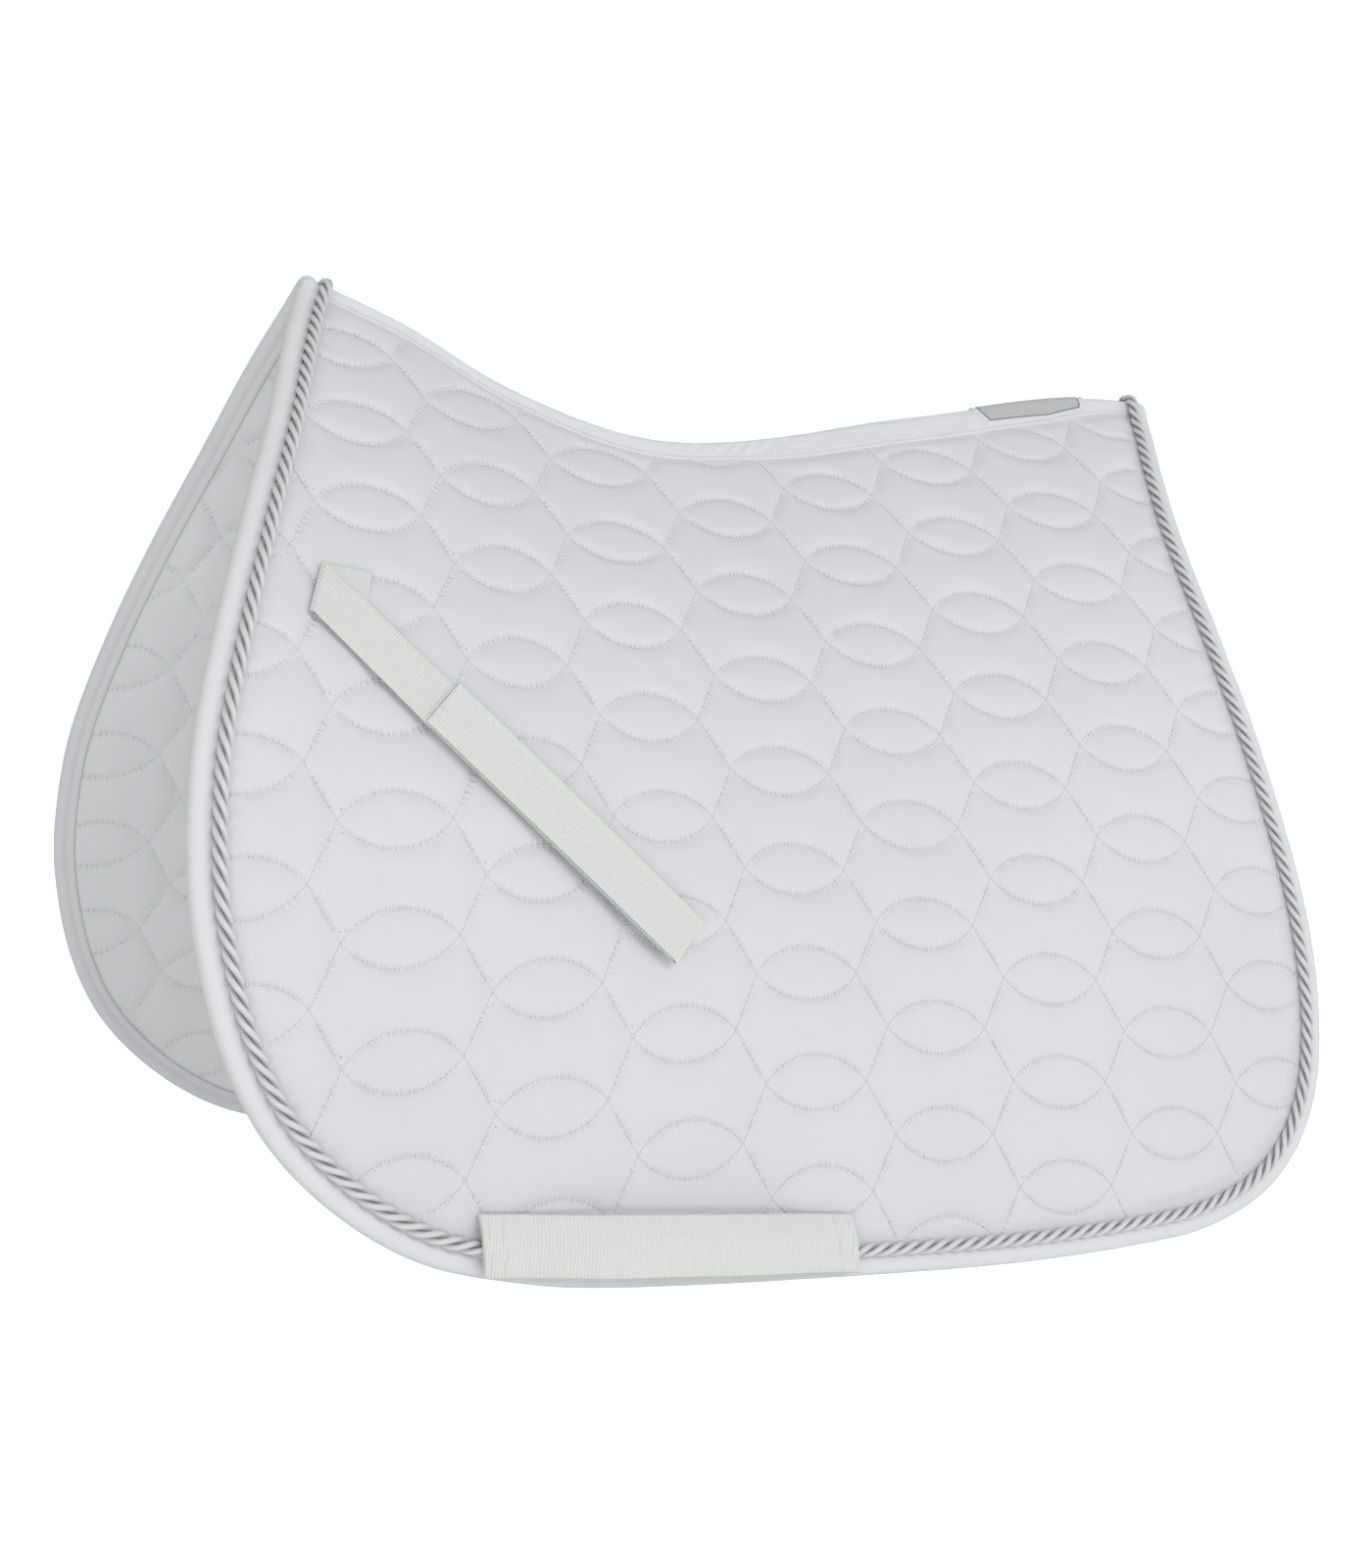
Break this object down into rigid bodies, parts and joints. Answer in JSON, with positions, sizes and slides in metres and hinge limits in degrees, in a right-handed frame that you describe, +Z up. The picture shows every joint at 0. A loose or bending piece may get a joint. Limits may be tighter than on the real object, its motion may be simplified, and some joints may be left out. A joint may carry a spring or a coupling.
{
  "type": "saddle pad",
  "caption": "White quilted saddle pad with a contoured spine, silver rope trim, hook-and-loop straps and webbing girth keepers.",
  "frame": {"origin": "in the middle plane, just above the lowest point of the spine line's dip, where the pad rests along a horse's back", "axes": "+Z up, +X towards the horse's tail, -Y towards the horse's near (left) side"},
  "size_m": [0.7274, 0.4692, 0.5616],
  "materials": {
    "cotton": "fine cotton twill, slightly satin",
    "lining": "plain cotton",
    "wadding": "fibre wadding",
    "binding": "cotton tape",
    "webbing": "ribbed webbing",
    "pile_tape": "hook and loop tape",
    "rope": "twisted silver-grey satin cord",
    "thread": "sewing thread",
    "badge_rim": "soft moulded rim",
    "badge_face": "soft satin grey"
  },
  "bodies": {
    "spine": {"spine_tape_outer": "binding", "spine_tape_inner": "binding", "spine_seam_edges": "wadding", "spine_front_binding": "binding", "spine_front_rope": "rope", "spine_rear_binding": "binding", "spine_rear_rope": "rope", "badge_base": "badge_rim", "badge_face": "badge_face"},
    "near_flap": {"near_shell": "cotton", "near_wadding": "wadding", "near_lining": "lining", "near_edge_binding": "binding", "near_rope_trim": "rope", "near_strap_stub": "webbing", "near_stub_stitching": "thread", "near_girth_keeper": "webbing", "near_keeper_front_hem": "webbing", "near_keeper_front_stitching": "thread", "near_keeper_rear_hem": "webbing", "near_keeper_rear_stitching": "thread"},
    "near_strap": {"near_strap_webbing": "webbing", "near_strap_loop_tape": "pile_tape"},
    "near_tail": {"near_strap_tail": "webbing", "near_tail_hook_tape": "pile_tape"},
    "far_flap": {"far_shell": "cotton", "far_wadding": "wadding", "far_lining": "lining", "far_edge_binding": "binding", "far_rope_trim": "rope", "far_strap_stub": "webbing", "far_stub_stitching": "thread", "far_girth_keeper": "webbing", "far_keeper_front_hem": "webbing", "far_keeper_front_stitching": "thread", "far_keeper_rear_hem": "webbing", "far_keeper_rear_stitching": "thread"},
    "far_strap": {"far_strap_webbing": "webbing", "far_strap_loop_tape": "pile_tape"},
    "far_tail": {"far_strap_tail": "webbing", "far_tail_hook_tape": "pile_tape"}
  },
  "joints": [
    {"name": "near_flap_fold", "type": "hinge", "parent": "spine", "child": "near_flap", "pos_m": [0, 0, 0.031], "axis": [-0.999, 0, 0.044], "range_deg": [-10, 25], "deforming": ["spine_tape_outer", "spine_tape_inner", "spine_seam_edges", "spine_front_binding", "spine_front_rope", "spine_rear_binding", "spine_rear_rope", "badge_base", "badge_face"]},
    {"name": "near_strap_lift", "type": "hinge", "parent": "near_flap", "child": "near_strap", "pos_m": [-0.27791, -0.13479, -0.11193], "axis": [-0.3427, -0.4757, -0.8101], "range_deg": [0, 150]},
    {"name": "near_tail_peel", "type": "hinge", "parent": "near_strap", "child": "near_tail", "pos_m": [-0.09097, -0.17902, -0.29698], "axis": [0.6926, 0.3739, 0.6169], "range_deg": [0, 160]},
    {"name": "far_flap_fold", "type": "hinge", "parent": "spine", "child": "far_flap", "pos_m": [0, 0, 0.031], "axis": [0.999, 0, -0.044], "range_deg": [-10, 25]},
    {"name": "far_strap_lift", "type": "hinge", "parent": "far_flap", "child": "far_strap", "pos_m": [-0.27791, 0.13479, -0.11193], "axis": [0.3427, -0.4757, 0.8101], "range_deg": [0, 150]},
    {"name": "far_tail_peel", "type": "hinge", "parent": "far_strap", "child": "far_tail", "pos_m": [-0.09097, 0.17902, -0.29698], "axis": [-0.6926, 0.3739, -0.6169], "range_deg": [0, 160]}
  ]
}
